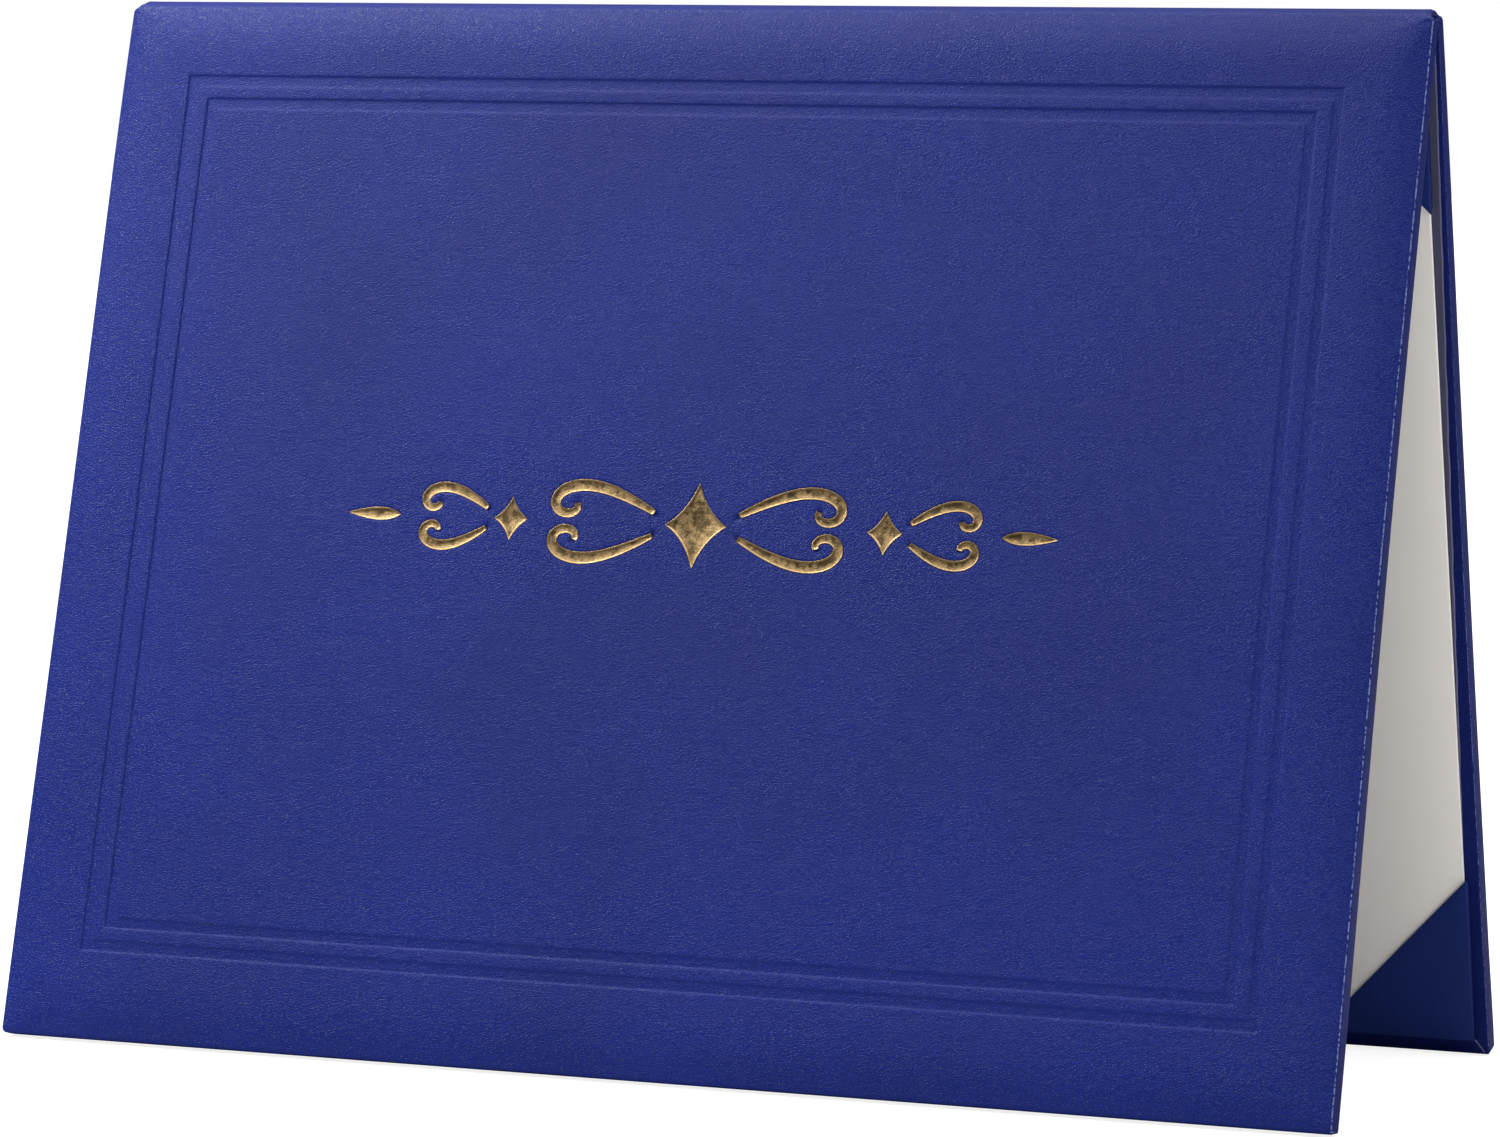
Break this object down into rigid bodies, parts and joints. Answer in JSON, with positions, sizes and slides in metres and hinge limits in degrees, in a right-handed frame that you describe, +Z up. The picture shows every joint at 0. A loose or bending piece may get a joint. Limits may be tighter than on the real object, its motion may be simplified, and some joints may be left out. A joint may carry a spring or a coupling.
{
  "type": "diploma cover",
  "caption": "Padded leatherette diploma cover standing as a tent on its lower edges, hinged at the spine, with a white panel and corner pockets inside its back.",
  "frame": {"origin": "on the surface that the cover stands on, below the middle of the spine", "axes": "+X along the spine, the front cover faces -Y, +Z up"},
  "size_m": [0.292, 0.1253, 0.22],
  "materials": {
    "leatherette": "royal blue embossed leatherette, fine satin grain",
    "pocket_leatherette": "dark blue leatherette, nearly matte",
    "lining": "dark violet-grey lining sheet, matte",
    "white_card": "plain white card, matte",
    "grey_board": "pressed grey board, matte",
    "foam": "soft padding foam, matte",
    "gold_foil": "stamped gold foil, satin"
  },
  "bodies": {
    "back": {"back_cover_skin": "leatherette", "back_foam_pad": "foam", "back_board": "grey_board", "back_lining": "lining", "back_panel": "white_card", "back_pocket_upper_right": "pocket_leatherette", "back_pocket_lower_right": "pocket_leatherette", "back_pocket_upper_left": "pocket_leatherette", "back_pocket_lower_left": "pocket_leatherette", "spine_skin": "leatherette", "spine_lining": "lining"},
    "front": {"front_cover_skin": "leatherette", "front_foam_pad": "foam", "front_board": "grey_board", "front_lining": "lining", "foil_centre_lozenge": "gold_foil", "foil_end_needle_left": "gold_foil", "foil_end_needle_right": "gold_foil", "foil_large_scroll_lower_left": "gold_foil", "foil_large_scroll_lower_right": "gold_foil", "foil_large_scroll_upper_left": "gold_foil", "foil_large_scroll_upper_right": "gold_foil", "foil_middle_lozenge_left": "gold_foil", "foil_middle_lozenge_right": "gold_foil", "foil_small_scroll_lower_left": "gold_foil", "foil_small_scroll_lower_right": "gold_foil", "foil_small_scroll_upper_left": "gold_foil", "foil_small_scroll_upper_right": "gold_foil"}
  },
  "joints": [
    {"name": "spine_hinge", "type": "hinge", "parent": "back", "child": "front", "pos_m": [0, -0.00082, 0.2189], "axis": [-1, 0, 0], "range_deg": [-28.8, 151.2], "deforming": ["spine_skin", "spine_lining"]}
  ]
}
